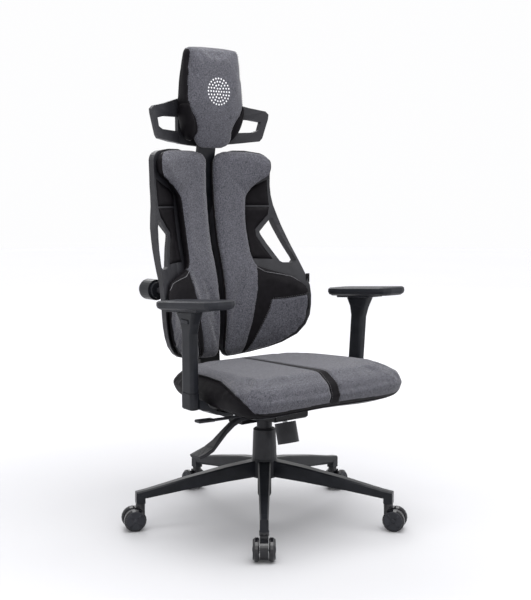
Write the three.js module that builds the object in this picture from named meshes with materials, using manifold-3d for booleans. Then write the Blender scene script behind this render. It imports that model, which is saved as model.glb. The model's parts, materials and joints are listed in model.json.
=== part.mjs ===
// Gaming chair with a split back, made as an assembly of separate solids.
// Millimetres, +Z up. The sitter faces -Y and the sitter's left is +X. The chair stands on Z = 0.
// Everything is placed from the axis of the gas column, and the whole group is then shifted so that
// the origin lies under the middle of the chair's bounding box.

import * as THREE from 'three';
import { LoftGeometry } from 'three/addons/geometries/LoftGeometry.js';
import { RoundedBoxGeometry } from 'three/addons/geometries/RoundedBoxGeometry.js';
import { mergeVertices } from 'three/addons/utils/BufferGeometryUtils.js';
import Module from 'manifold-3d';

const wasm = await Module();
wasm.setup();

// ---- Driving dimensions ---------------------------------------------------------------------

const GAP = 0.3;                       // clearance between pieces that touch
const COLUMN = { x: -6, y: -25.5 };    // column axis, seen from the bounding box's middle

const LEG_COUNT = 5;
const LEG_STEP = 360 / LEG_COUNT;        // degrees between legs
const FIRST_LEG_ANGLE = 230.5;         // degrees from +X, so that one leg points front right
const LEG_END_RADIUS = 360;
const CASTER_RADIUS = 348;             // from the column to a caster's stem
const CASTER_TRAIL = 18;               // from the stem to the wheels' axle
const WHEEL_RADIUS = 30;
const WHEEL_WIDTH = 14.5;
const WHEEL_SPACING = 37.5;            // between the two wheels' middles
const AXLE_RADIUS = 4;
const STEM_RADIUS = 5.5;
const SOCKET_BOTTOM = 71;

const TUBE_RADIUS = 19;
const PISTON_RADIUS = 14;
const HUB_TOP = 170;

const HOUSING_HALF = 55;               // half the mechanism's width
const HOUSING_TOP = 318;
const RECLINE_PIVOT = { y: 55, z: 284 };
const SEAT_PIVOT = { y: -95, z: 308 };
const PIN_RADIUS = 5;
const THROUGH = 80;                    // half length of a bore that passes right through
const BOLT_RADIUS = 7;
const KNOB = { radius: 29, bottom: -31, top: 25, y: -94, z: 257, lean: -15 };
const PLATE = { width: 150, length: 235, y: -17.5 };
const PLATE_LUG = { x: 58, thickness: 4, length: 34 };
const PLATE_BOTTOM = 326;
const PLATE_TOP = 331;

const SEAT_BOTTOM = 333;
const SEAT_PAN_TOP = 346.5;

const ARM_X = 288;                     // arm post at the collar's foot
const ARM_Y = -56;
const ARM_TOP = { x: 296, y: -64, z: 599 };   // underside of a pad's carrier
const CARRIER_HEIGHT = 5.3;
const ARM_FOOT = 350;
const COLLAR_TOP = 392;
const ARM_LEAN_OUT = 2;                // degrees
const ARM_LEAN_FORWARD = 2.2;
const ARM_SECTION = { width: 25, length: 46 };
const PAD = { width: 90, length: 245, height: 23, pitch: 4 };
const ARM_BUTTON = { thickness: 6, length: 28, height: 10, x: 14, z: 226, travel: 3 };

const BACK_GAP = 12;                   // from the middle plane to the edge of a back cushion
const FRAME_INNER = [[845, 14], [885, 42]];   // height, inner edge: it makes room for the stem's sleeve
const INNER_RIM = [[423, 0], [450, 8], [820, 8], [850, 0]];   // height, extra depth along that edge
const FRAME_THICKNESS = 12;
const FRAME_STANDOFF = 2.5;            // between a cushion's back and its frame
const BACK_PIVOT = { x: 190, y: 222, z: 626 };

const STEM_TILT = 9.5;                 // degrees that the headrest's stem leans forward
const HEAD_PIVOT = { y: 258, z: 1056 };
const HEAD_PIN_RADIUS = 4;

// ---- Materials ------------------------------------------------------------------------------

const finish = (color, roughness, metalness = 0) =>
  new THREE.MeshStandardMaterial({ color, roughness, metalness });

const matteBlack = finish(0x1b1c1f, 0.55);
const satinBlack = finish(0x24262a, 0.4);
const glossBlack = finish(0x121316, 0.2);
const darkGrey = finish(0x33353a, 0.5);
const paintedSteel = finish(0x191a1c, 0.4, 0.3);
const brightSteel = finish(0x9a9da2, 0.3, 0.9);
const greyFabric = finish(0x6b6e76, 0.95);
const softBlack = finish(0x1a1a1d, 0.8);

// ---- Assembly helpers -----------------------------------------------------------------------

const chair = new THREE.Group();
chair.position.set(COLUMN.x, COLUMN.y, 0);

function place(name, geometry, material, parent = chair) {
  const mesh = new THREE.Mesh(geometry, material);
  mesh.name = name;
  parent.add(mesh);
  return mesh;
}

function group(parent, x, y, z) {
  const made = new THREE.Group();
  made.position.set(x, y, z);
  parent.add(made);
  return made;
}

const radians = THREE.MathUtils.degToRad;

// Value at t on a line through [position, value] pairs, held flat past both ends.
function along(pairs, t) {
  if (t <= pairs[0][0]) return pairs[0][1];
  for (let i = 1; i < pairs.length; i++) {
    const [t0, v0] = pairs[i - 1];
    const [t1, v1] = pairs[i];
    if (t <= t1) return THREE.MathUtils.mapLinear(t, t0, t1, v0, v1);
  }
  return pairs[pairs.length - 1][1];
}

// ---- Solid helpers --------------------------------------------------------------------------

// The same surface with shared corners and no triangles that have shrunk to a line.
function weld(geometry) {
  const bare = new THREE.BufferGeometry().copy(geometry);
  bare.deleteAttribute('normal');
  bare.deleteAttribute('uv');
  const merged = mergeVertices(bare, 1e-3);
  const index = [];
  for (let i = 0; i < merged.index.count; i += 3) {
    const [a, b, c] = [0, 1, 2].map((k) => merged.index.getX(i + k));
    if (a !== b && b !== c && c !== a) index.push(a, b, c);
  }
  merged.setIndex(index);
  return merged;
}

function toManifold(geometry) {
  const merged = weld(geometry);
  return new wasm.Manifold(new wasm.Mesh({
    numProp: 3,
    vertProperties: new Float32Array(merged.attributes.position.array),
    triVerts: new Uint32Array(merged.index.array),
  }));
}

function fromManifold(solid) {
  const mesh = solid.getMesh();
  const geometry = new THREE.BufferGeometry();
  geometry.setAttribute('position', new THREE.BufferAttribute(mesh.vertProperties, 3));
  geometry.setIndex(new THREE.BufferAttribute(mesh.triVerts, 1));
  return geometry;
}

function join(first, ...others) {
  return fromManifold(others.reduce((sum, other) => sum.add(toManifold(other)), toManifold(first)));
}

function cut(body, ...tools) {
  return fromManifold(tools.reduce((rest, tool) => rest.subtract(toManifold(tool)), toManifold(body)));
}

function volumeOf(geometry) {
  const { position } = geometry.attributes;
  const index = geometry.index.array;
  const [a, b, c] = [new THREE.Vector3(), new THREE.Vector3(), new THREE.Vector3()];
  let volume = 0;
  for (let i = 0; i < index.length; i += 3) {
    a.fromBufferAttribute(position, index[i]);
    b.fromBufferAttribute(position, index[i + 1]);
    c.fromBufferAttribute(position, index[i + 2]);
    volume += a.dot(b.cross(c)) / 6;
  }
  return volume;
}

// Turns every face round when they point inwards.
function facingOut(geometry) {
  if (volumeOf(geometry) > 0) return geometry;
  const index = geometry.index.array;
  for (let i = 0; i < index.length; i += 3) {
    [index[i], index[i + 1]] = [index[i + 1], index[i]];
  }
  return geometry;
}

function centreOf(ring) {
  return ring.reduce((sum, p) => sum.add(p), new THREE.Vector3()).divideScalar(ring.length);
}

// Skins a row of closed rings, each turned so that it winds around the way to the last one.
function loft(sections) {
  const forward = centreOf(sections[sections.length - 1]).sub(centreOf(sections[0]));
  const middle = centreOf(sections[0]);
  const normal = new THREE.Vector3();
  sections[0].forEach((p, i, ring) => {
    const q = ring[(i + 1) % ring.length];
    normal.add(p.clone().sub(middle).cross(q.clone().sub(middle)));
  });
  const rings = normal.dot(forward) < 0 ? sections.map((ring) => [...ring].reverse()) : sections;
  return weld(new LoftGeometry(rings, { capStart: true, capEnd: true }));
}

function box(width, depth, height, x = 0, y = 0, z = 0) {
  return new THREE.BoxGeometry(width, depth, height).translate(x, y, z);
}

// A cylinder standing along Z between two heights.
function rod(radius, bottom, top, x = 0, y = 0, sides = 20) {
  const geometry = new THREE.CylinderGeometry(radius, radius, top - bottom, sides);
  return geometry.rotateX(Math.PI / 2).translate(x, y, (top + bottom) / 2);
}

// A cylinder lying along X.
function pinAlongX(radius, half, y, z, sides = 20) {
  const geometry = new THREE.CylinderGeometry(radius, radius, half * 2, sides);
  return geometry.rotateZ(Math.PI / 2).translate(0, y, z);
}

// A solid of revolution about Z from [radius, height] pairs; a ring's outline closes on itself.
function turned(profile, sides = 24) {
  const points = profile.map(([r, z]) => new THREE.Vector2(r, z));
  const ring = profile.every(([r]) => r > 0);
  if (ring) points.push(points[0].clone());
  const geometry = new THREE.LatheGeometry(points, sides).rotateX(Math.PI / 2);
  return facingOut(weld(geometry));
}

// A piece drawn for the sitter's left (1), or its mirror image for the right (-1).
function handed(geometry, side) {
  return side > 0 ? geometry : facingOut(geometry.scale(-1, 1, 1));
}

// A counterclockwise shape, which is the way round that lets its holes be cut either way.
function outline(points) {
  const corners = points.map(([x, y]) => new THREE.Vector2(x, y));
  return new THREE.Shape(THREE.ShapeUtils.isClockWise(corners) ? corners.reverse() : corners);
}

// Extrudes an outline of [y, z] pairs along X, from -half to +half.
function sideProfile(points, half) {
  const geometry = new THREE.ExtrudeGeometry(outline(points), { depth: half * 2, bevelEnabled: false });
  const basis = new THREE.Matrix4().makeBasis(
    new THREE.Vector3(0, 1, 0), new THREE.Vector3(0, 0, 1), new THREE.Vector3(1, 0, 0));
  return geometry.applyMatrix4(basis).translate(-half, 0, 0);
}

// Extrudes an outline of [x, z] pairs along Y, from y0 to y1.
function frontProfile(points, y0, y1) {
  const geometry = new THREE.ExtrudeGeometry(outline(points), { depth: y1 - y0, bevelEnabled: false });
  return geometry.rotateX(Math.PI / 2).translate(0, y1, 0);
}

// The points of a rectangle with round corners, counterclockwise in X and Y.
function roundedRing(width, length, radius, z, x = 0, y = 0, steps = 3) {
  const ring = [];
  const corners = [[1, 1, 0], [-1, 1, 90], [-1, -1, 180], [1, -1, 270]];
  for (const [sx, sy, start] of corners) {
    for (let i = 0; i <= steps; i++) {
      const angle = radians(start + (90 * i) / steps);
      ring.push(new THREE.Vector3(
        x + sx * (width / 2 - radius) + radius * Math.cos(angle),
        y + sy * (length / 2 - radius) + radius * Math.sin(angle), z));
    }
  }
  return ring;
}

// ---- Star base ------------------------------------------------------------------------------

const LEG = [                          // radius, half width, top, bottom
  [20, 18, 166, 120],
  [110, 16.5, 153, 112],
  [230, 14, 130, 98],
  [330, 11.5, 108, 84],
  [LEG_END_RADIUS, 11, 103, 83],
];

function legSolid() {
  const chamfer = 3.5;
  const sections = LEG.map(([radius, half, top, bottom]) => [
    [half - chamfer, top], [half, top - chamfer], [half - 1, bottom + 6], [half - 4, bottom],
    [4 - half, bottom], [1 - half, bottom + 6], [-half, top - chamfer], [chamfer - half, top],
  ].map(([y, z]) => new THREE.Vector3(radius, y, z)));
  return loft(sections);
}

function starBase() {
  let base = turned([[0, 117], [35, 117], [38, 122], [37, 160], [34, HUB_TOP], [0, HUB_TOP]]);
  for (let i = 0; i < LEG_COUNT; i++) {
    const angle = radians(FIRST_LEG_ANGLE + i * LEG_STEP);
    const socket = box(24, 22, 24, LEG_END_RADIUS - 12, 0, SOCKET_BOTTOM + 12);
    base = join(base, legSolid().rotateZ(angle), socket.rotateZ(angle));
    base = cut(base, rod(STEM_RADIUS + GAP, 60, 97, CASTER_RADIUS, 0, 16).rotateZ(angle));
  }
  return cut(base, rod(TUBE_RADIUS + GAP, 100, 180));
}

place('star_base', starBase(), satinBlack);

// ---- Casters --------------------------------------------------------------------------------

function casterHousing() {
  const half = WHEEL_SPACING / 2 - WHEEL_WIDTH / 2 - 1;
  const hood = new THREE.CylinderGeometry(25, 25, half * 2, 28).translate(CASTER_TRAIL, 0, WHEEL_RADIUS);
  const neck = box(26, half * 2, 28, 3, 0, 48);
  const collar = rod(12.5, 60, SOCKET_BOTTOM - GAP, 0, 0, 24);
  const stem = rod(STEM_RADIUS, 60, 95, 0, 0, 16);
  const bore = new THREE.CylinderGeometry(AXLE_RADIUS + GAP, AXLE_RADIUS + GAP, 60, 20)
    .translate(CASTER_TRAIL, 0, WHEEL_RADIUS);
  return cut(join(hood, neck, collar, stem), bore);
}

function casterWheel() {
  const half = WHEEL_WIDTH / 2;
  const bore = AXLE_RADIUS + GAP;
  return turned([
    [bore, -half], [26, -half], [WHEEL_RADIUS, 4 - half], [WHEEL_RADIUS, half - 4], [26, half], [bore, half],
  ], 20).rotateX(Math.PI / 2);
}

function addCaster(index) {
  const turn = group(chair, 0, 0, 0);
  turn.rotation.z = radians(FIRST_LEG_ANGLE + (index - 1) * LEG_STEP);
  const caster = group(turn, CASTER_RADIUS, 0, 0);
  place(`caster_housing_${index}`, casterHousing(), glossBlack, caster);
  const axle = group(caster, CASTER_TRAIL, 0, WHEEL_RADIUS);
  const shaft = new THREE.CylinderGeometry(AXLE_RADIUS, AXLE_RADIUS, WHEEL_SPACING + WHEEL_WIDTH - 2, 16);
  place(`caster_axle_${index}`, shaft, brightSteel, axle);
  for (const [side, sign] of [['a', 1], ['b', -1]]) {
    const wheel = place(`caster_wheel_${index}${side}`, casterWheel(), glossBlack, axle);
    wheel.position.y = (sign * WHEEL_SPACING) / 2;
  }
}

for (let i = 1; i <= LEG_COUNT; i++) addCaster(i);

// ---- Gas column -----------------------------------------------------------------------------

place('gas_cylinder', turned([
  [0, 62], [16.5, 62], [TUBE_RADIUS, 68], [TUBE_RADIUS, 236], [PISTON_RADIUS + GAP, 236],
  [PISTON_RADIUS + GAP, 90], [0, 90],
]), paintedSteel);
place('gas_piston', turned([
  [0, 92], [PISTON_RADIUS, 92], [PISTON_RADIUS, 272], [12.6, 308], [0, 308],
]), brightSteel);
place('column_cover_lower', turned([
  [26, HUB_TOP + GAP], [34, HUB_TOP + GAP], [33.5, 178], [31, 249], [28, 252], [22, 252], [22, 249],
  [26, 246],
]), matteBlack);
place('column_cover_upper', turned([
  [19.6, 178], [21.2, 178], [21.2, 282.4], [19.6, 282.4],
]), matteBlack);

// ---- Tilt mechanism -------------------------------------------------------------------------

function mechanismHousing() {
  const body = sideProfile([
    [88, 262], [90, 266], [90, 292], [84, 298], [-20, 312], [-60, HOUSING_TOP], [-112, HOUSING_TOP],
    [-115, 314], [-115, 296], [-110, 291], [-40, 290], [-22, 283], [26, 283], [30, 262],
  ], HOUSING_HALF);
  const socket = turned([[0, 270], [PISTON_RADIUS + GAP, 270], [12.9 + GAP, 309], [0, 309]]);
  return cut(body, socket,
    pinAlongX(PIN_RADIUS + GAP, THROUGH, RECLINE_PIVOT.y, RECLINE_PIVOT.z),
    pinAlongX(PIN_RADIUS + GAP, THROUGH, SEAT_PIVOT.y, SEAT_PIVOT.z),
    tensionTool(BOLT_RADIUS + GAP, 20, 60));
}

// A cylinder along the tension knob's axis, from one distance to another above the knob's middle.
function tensionTool(radius, from, to, sides = 24) {
  const geometry = rod(radius, from, to, 0, 0, sides);
  return geometry.rotateX(radians(KNOB.lean)).translate(0, KNOB.y, KNOB.z);
}

place('mechanism_housing', mechanismHousing(), paintedSteel);
place('seat_pivot_pin', pinAlongX(PIN_RADIUS, 62, SEAT_PIVOT.y, SEAT_PIVOT.z), brightSteel);
place('recline_pivot_pin', pinAlongX(PIN_RADIUS, 62.5, RECLINE_PIVOT.y, RECLINE_PIVOT.z), brightSteel);
place('tension_knob', tensionTool(KNOB.radius, KNOB.bottom, KNOB.top, 30), matteBlack);
place('tension_bolt', tensionTool(BOLT_RADIUS, KNOB.top + GAP, 56), brightSteel);

function seatPlate() {
  const middle = (PLATE_TOP + PLATE_BOTTOM) / 2;
  const plate = box(PLATE.width, PLATE.length, PLATE_TOP - PLATE_BOTTOM, 0, PLATE.y, middle);
  const { x, thickness, length } = PLATE_LUG;
  const lugs = [-1, 1].map((side) =>
    box(thickness, length, length, side * x, SEAT_PIVOT.y, middle - length / 2));
  const bore = pinAlongX(PIN_RADIUS + GAP, THROUGH, SEAT_PIVOT.y, SEAT_PIVOT.z);
  return cut(join(plate, ...lugs), bore);
}

place('seat_plate', seatPlate(), paintedSteel);

function backBracket() {
  const side = sideProfile([
    [40, 276], [44, 272], [225, 280], [250, 292], [258, 312], [262, 452], [250, 452], [245, 316],
    [238, 303], [220, 295], [100, 297], [60, 298], [44, 296], [40, 292],
  ], 63);
  const housingRoom = box((HOUSING_HALF + 1.5) * 2, 110, 60, 0, 55, 285);
  const uprightTrim = [-1, 1].map((s) => box(60, 60, 160, s * 65, 255, 395));
  const bore = pinAlongX(PIN_RADIUS + GAP, THROUGH, RECLINE_PIVOT.y, RECLINE_PIVOT.z);
  return cut(side, housingRoom, ...uprightTrim, bore);
}

place('back_bracket', backBracket(), paintedSteel);

// ---- Levers ---------------------------------------------------------------------------------

function leverRod(points, radius) {
  const path = new THREE.CatmullRomCurve3(points.map((p) => new THREE.Vector3(...p)));
  const section = new THREE.Shape().absarc(0, 0, radius, 0, Math.PI * 2);
  return new THREE.ExtrudeGeometry(section, {
    steps: 10, curveSegments: 5, extrudePath: path, bevelEnabled: false,
  });
}

place('gas_lever', leverRod([[-56, -50, 307], [-120, -50, 308], [-170, -50, 309], [-212, -50, 310]], 4),
  matteBlack);
place('gas_lever_grip',
  new RoundedBoxGeometry(52, 24, 8, 1, 3).rotateY(radians(2)).translate(-239, -50, 312), matteBlack);

function tiltLever() {
  const arm = [                        // x, z, half depth, half thickness
    [-57, 292, 7, 7], [-88, 289, 8, 8], [-116, 278, 9, 8], [-142, 260, 10, 7],
    [-170, 237, 14, 6], [-192, 222, 21, 5], [-220, 212, 24, 5], [-238, 208, 22, 4],
  ];
  const sections = arm.map(([x, z, halfDepth, half], i) => {
    const [xa, za] = arm[Math.max(i - 1, 0)];
    const [xb, zb] = arm[Math.min(i + 1, arm.length - 1)];
    const lean = Math.atan2(zb - za, xb - xa) + Math.PI / 2;
    return roundedRing(half * 2, halfDepth * 2, Math.min(half, halfDepth) * 0.7, 0).map(
      (p) => new THREE.Vector3(x + p.x * Math.cos(lean), p.y - 4, z + p.x * Math.sin(lean)));
  });
  return loft(sections);
}

place('tilt_lever', tiltLever(), matteBlack);

// ---- Seat -----------------------------------------------------------------------------------

const SEAT_OUTLINE = [                 // half width and y at the seat's widest level, rear to front
  [0, 165], [100, 165], [165, 162], [205, 146], [230, 112], [243, 60], [252, 0], [264, -90],
  [278, -190], [279, -232], [270, -264], [250, -282], [215, -290], [120, -293], [0, -293],
];

// The seat's outline drawn in by a distance, at a height that may change with y.
function seatRing(inset, height) {
  const middle = { x: 0, y: -65 };
  const right = SEAT_OUTLINE.map(([x, y]) => {
    const toMiddle = new THREE.Vector2(middle.x - x, middle.y - y);
    const reach = toMiddle.length();
    const k = Math.min(inset * 1.15, reach) / reach;
    return [x + toMiddle.x * k, y + toMiddle.y * k];
  });
  const left = right.slice(1, -1).reverse().map(([x, y]) => [-x, y]);
  return [...right, ...left].map(([x, y]) => new THREE.Vector3(x, y, height(y)));
}

// The top is highest at the front of the thighs and lower towards the back.
const seatRise = (y) => along([[-290, -2], [-220, 1], [-140, 3], [0, 0], [165, -9]], y);

place('seat_shell', loft([
  seatRing(88, () => SEAT_BOTTOM), seatRing(66, () => 338), seatRing(38, () => SEAT_PAN_TOP),
]), darkGrey);
place('seat_cushion', loft([
  seatRing(32, () => SEAT_PAN_TOP + GAP), seatRing(12, () => 362), seatRing(0, () => 392),
  seatRing(3, (y) => 412 + seatRise(y)), seatRing(16, (y) => 426 + seatRise(y)),
  seatRing(50, (y) => 432 + seatRise(y)),
]), greyFabric);

// ---- Arms -----------------------------------------------------------------------------------

// The way an arm's post leans, for the left (1) or the right (-1) arm.
const armLean = (side) => new THREE.Euler(radians(ARM_LEAN_FORWARD), radians(side * ARM_LEAN_OUT), 0);

function armUpright() {
  const { width, length } = ARM_SECTION;
  const collar = loft([0, 3, COLLAR_TOP - ARM_FOOT].map((z) =>
    roundedRing(width + (z ? 3 : 0), length + (z ? 3 : 0), 9, z)));
  const upright = join(collar, box(14, 34, 180, 0, 0, 90));
  return upright.applyMatrix4(new THREE.Matrix4().makeRotationFromEuler(armLean(1)));
}

// The left bracket: a flat foot under the seat that rises to the collar, measured from the collar's foot.
function armBracket() {
  const reach = frontProfile([
    [-192, -24.2], [-86, -24.2], [-60, -19], [-34, -6], [-14, -2], [-8, 2], [-8, 26], [-24, 20],
    [-38, 4], [-66, -12], [-92, -18.4], [-192, -18.4],
  ], -30, 30);
  return join(armUpright(), reach);
}

// The recess round a button, deep enough behind it for the button's travel.
function buttonPocket() {
  const { thickness, length, height, x, z, travel } = ARM_BUTTON;
  const depth = thickness + 2 * travel;
  return box(depth, length + 2, height + 2, x, 0, z);
}

function armPost() {
  const { width, length } = ARM_SECTION;
  const foot = COLLAR_TOP - ARM_FOOT + GAP;
  const headTilt = Math.tan(radians(PAD.pitch + ARM_LEAN_FORWARD));
  const head = roundedRing(34, 82, 10, 248).map((p) => p.setZ(p.z - p.y * headTilt));
  const outside = loft([
    roundedRing(width, length, 8, foot), roundedRing(width, length, 8, 196),
    roundedRing(27, 58, 8, 222), head,
  ]);
  return cut(outside, box(16, 36, 320, 0, 0, 50), buttonPocket());
}

function armPad() {
  const { width, length, height } = PAD;
  const layers = [[12, 0], [3, 5], [0, 12], [1, 20], [6, height]];
  return loft(layers.map(([inset, z]) => roundedRing(width - inset * 2, length - inset * 2, 24 - inset, z)));
}

function addArm(name, side) {
  const foot = group(chair, side * ARM_X, ARM_Y, ARM_FOOT);
  place(`arm_bracket_${name}`, handed(armBracket(), side), satinBlack, foot);
  const arm = group(foot, 0, 0, 0);
  arm.rotation.copy(armLean(side));
  place(`arm_post_${name}`, handed(armPost(), side), satinBlack, arm);
  const { thickness, length, height, x, z } = ARM_BUTTON;
  const cap = new RoundedBoxGeometry(thickness, length, height, 1, 2);
  const button = place(`arm_button_${name}`, cap, darkGrey, arm);
  button.position.set(side * x, 0, z);
  const top = group(chair, side * ARM_TOP.x, ARM_TOP.y, ARM_TOP.z);
  top.rotation.x = radians(-PAD.pitch);
  place(`arm_pad_carrier_${name}`, box(52, 130, 5, 0, 0, CARRIER_HEIGHT - 2.5), darkGrey, top);
  const pad = place(`arm_pad_${name}`, armPad(), softBlack, top);
  pad.position.set(0, -26, CARRIER_HEIGHT + GAP);
}

addArm('left', 1);
addArm('right', -1);

// ---- Back: surfaces shared by frames and cushions -------------------------------------------

const BACK_MIDDLE = [                  // height, y of the front face beside the gap
  [420, 188], [460, 184], [500, 178], [550, 175], [600, 179], [650, 187], [700, 200], [750, 216],
  [800, 225], [850, 232], [900, 237], [950, 239], [1020, 240],
];
const BACK_RIM = [                     // height, y of the front face at the back's half width
  [420, 78], [480, 80], [550, 81], [600, 82], [640, 94], [690, 118], [750, 154], [810, 183],
  [850, 193], [900, 196], [970, 197], [1020, 203],
];
const BACK_HALF = [                    // height, half width over which the back wraps forward
  [420, 250], [600, 257], [690, 245], [750, 233], [810, 220], [870, 205], [1020, 205],
];
const FRAME_EDGE = [                   // height, outer edge of the frame
  [423, 60], [430, 118], [445, 172], [460, 199], [480, 224], [510, 244], [540, 254], [580, 258], [630, 257],
  [690, 245], [750, 233], [810, 220], [840, 212], [870, 205], [930, 204], [970, 206], [984, 205],
  [991, 202], [998, 197], [1004, 189], [1009, 179], [1013, 163], [1016, 133],
];
const CUSHION_EDGE = [                 // height, outer edge of the cushion
  [426, 58], [433, 116], [448, 166], [463, 192], [483, 216], [510, 235], [540, 245], [580, 249],
  [630, 245], [655, 215], [672, 135], [690, 116], [800, 114], [880, 118], [905, 128], [922, 160],
  [935, 190], [969, 199], [984, 197], [991, 194], [998, 187], [1004, 177], [1009, 161], [1013, 127],
];
const WRAP_POWER = 2.3;
const EDGE_THINNING = [[840, 14], [900, 3]];   // height, padding lost towards the outer edge

function backFace(x, z) {
  const middle = along(BACK_MIDDLE, z);
  const rim = along(BACK_RIM, z);
  return middle + (rim - middle) * (x / along(BACK_HALF, z)) ** WRAP_POWER;
}

// Thickness of the padding: thin at the gap, full beyond it, thin again where the frame's rim begins.
function padding(x, z) {
  const inner = THREE.MathUtils.smoothstep(x, BACK_GAP, 90);
  const outer = THREE.MathUtils.smoothstep(x / along(BACK_HALF, z), 0.55, 1);
  return 18 + 10 * inner - along(EDGE_THINNING, z) * outer;
}

// A plate whose rows run from an inner to an outer edge and whose faces follow two functions.
function shell(heights, inner, outer, front, rear, columns) {
  return loft(heights.map((z) => {
    const ring = [];
    for (let i = 0; i <= columns; i++) {
      const x = THREE.MathUtils.lerp(inner(z), outer(z), i / columns);
      ring.push(new THREE.Vector3(x, front(x, z), z));
    }
    for (let i = columns; i >= 0; i--) {
      const x = THREE.MathUtils.lerp(inner(z), outer(z), i / columns);
      ring.push(new THREE.Vector3(x, rear(x, z), z));
    }
    return ring;
  }));
}

// The heights of a shell's rows, closer together at its rounded corners, and its own two ends.
function rowsBetween(bottom, top) {
  const corners = [429, 442, 456, 481, 969, 984, 991, 998, 1004, 1009];
  const middle = Array.from({ length: 16 }, (_, i) => 509 + i * 29);
  const steps = [...corners, ...middle].sort((a, b) => a - b);
  return [bottom, ...steps.filter((z) => z > bottom + 2 && z < top - 2), top];
}

const OUTER_RIM = [[420, 4], [600, 8], [660, 8], [690, 15], [820, 15], [880, 13], [1016, 12]];
const INNER_CORNERS = [[423, 16], [432, 3], [445, 0], [985, 0], [1004, 12], [1016, 55]];   // height, inset
const roundedInner = (edge) => (z) => along(edge, z) + along(INNER_CORNERS, z);

// ---- Back frames and cushions ---------------------------------------------------------------

const SIDE_OPENING = [                 // x and z of the gap beside the waist
  [203, 818], [196, 818], [163, 779], [165, 771], [199, 694], [206, 689], [232, 689], [238, 696],
  [237, 704],
];

// The frame is a thin shell with a rim along both edges, the outer one deepest at the shoulder.
function frameDepth(x, z) {
  const outer = along(OUTER_RIM, z);
  const outerRim = outer * THREE.MathUtils.smoothstep(x / along(BACK_HALF, z), 0.72, 0.96);
  const innerRim = along(INNER_RIM, z) * (1 - THREE.MathUtils.smoothstep(x, 16, 50));
  return FRAME_THICKNESS + outerRim + innerRim;
}

function backFrame() {
  const heights = rowsBetween(423, 1016);
  const plate = shell(heights, roundedInner(FRAME_INNER), (z) => along(FRAME_EDGE, z),
    (x, z) => backFace(x, z) + padding(x, z) + FRAME_STANDOFF,
    (x, z) => backFace(x, z) + padding(x, z) + FRAME_STANDOFF + frameDepth(x, z), 7);
  const opening = frontProfile(SIDE_OPENING, 60, 340);
  const boss = new THREE.CylinderGeometry(9, 9, 66, 16)
    .translate(BACK_PIVOT.x, BACK_PIVOT.y - 29, BACK_PIVOT.z);
  const flange = new THREE.CylinderGeometry(22, 22, 20, 20).translate(BACK_PIVOT.x, 172, BACK_PIVOT.z);
  const room = shell(heights.filter((z) => z > 560 && z < 700), () => 150, () => 240, () => 60,
    (x, z) => backFace(x, z) + padding(x, z) + FRAME_STANDOFF + 2, 5);
  return join(cut(plate, opening), cut(join(boss, flange), room));
}

function backCushion() {
  const heights = rowsBetween(426, 1013);
  return shell(heights, roundedInner([[0, BACK_GAP]]), (z) => along(CUSHION_EDGE, z),
    backFace, (x, z) => backFace(x, z) + padding(x, z), 6);
}

place('back_frame_left', backFrame(), matteBlack);
place('back_frame_right', handed(backFrame(), -1), matteBlack);
place('back_cushion_left', backCushion(), greyFabric);
place('back_cushion_right', handed(backCushion(), -1), greyFabric);

// ---- Spine and cross bar --------------------------------------------------------------------

const SPINE = [                        // y and z down the middle of the spine, below the stem's sleeve
  [246, 455], [236, 470], [229, 540], [240, 620], [262, 700], [284, 760], [298, 820],
];
const SPINE_HALF = 36;
const STEM_HALF = 30;
const NECK_HALF = 18;                  // the stem between the headrest's lugs
const NECK_BOTTOM = 1031;
const SLEEVE_HALF = 12;
const SLEEVE_TOP = 932;

// y on the headrest stem's middle line at a height.
const stemY = (z) => 298 - (z - 820) * Math.tan(radians(STEM_TILT));

function spine() {
  const half = 9;
  const front = SPINE.map(([y, z]) => [y - (z > 800 ? SLEEVE_HALF : half), z]);
  const rear = SPINE.map(([y, z]) => [y + (z > 800 ? SLEEVE_HALF : half), z]).reverse();
  const profile = sideProfile([
    ...front, [stemY(SLEEVE_TOP) - SLEEVE_HALF, SLEEVE_TOP], [stemY(SLEEVE_TOP) + SLEEVE_HALF, SLEEVE_TOP],
    ...rear,
  ], SPINE_HALF);
  const channel = sideProfile([
    [stemY(835) - 6.5, 835], [stemY(960) - 6.5, 960], [stemY(960) + 6.5, 960], [stemY(835) + 6.5, 835],
  ], STEM_HALF + 0.5);
  return cut(profile, channel);
}

place('spine', spine(), satinBlack);

// A bar that passes behind the spine and bends forward to a round seat at each end.
function crossBar() {
  const rear = BACK_PIVOT.y + 6;
  const half = [[0, 258], [40, 258], [130, rear], [BACK_PIVOT.x, rear], [BACK_PIVOT.x, rear + 11],
    [134, rear + 11], [44, 270], [0, 270]];
  const left = half.slice(1, -1).reverse().map(([x, y]) => [-x, y]);
  const bar = new THREE.ExtrudeGeometry(outline([...half, ...left]), { depth: 32, bevelEnabled: false })
    .translate(0, 0, BACK_PIVOT.z - 16);
  const ends = [-1, 1].map((side) => new THREE.CylinderGeometry(23, 23, 11, 24)
    .translate(side * BACK_PIVOT.x, rear + 5.5, BACK_PIVOT.z));
  return join(bar, ...ends);
}

place('rear_cross_bar', crossBar(), satinBlack);

function pivotHousing() {
  const front = BACK_PIVOT.y + 17 + GAP;
  return turned([[0, front], [29, front], [29, front + 44], [23, front + 55], [0, front + 58]], 24)
    .rotateX(-Math.PI / 2).scale(1, 1, -1);
}

place('pivot_housing_left', facingOut(pivotHousing()).translate(BACK_PIVOT.x, 0, BACK_PIVOT.z), satinBlack);
place('pivot_housing_right', facingOut(pivotHousing()).translate(-BACK_PIVOT.x, 0, BACK_PIVOT.z), satinBlack);

// ---- Headrest -------------------------------------------------------------------------------

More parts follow.
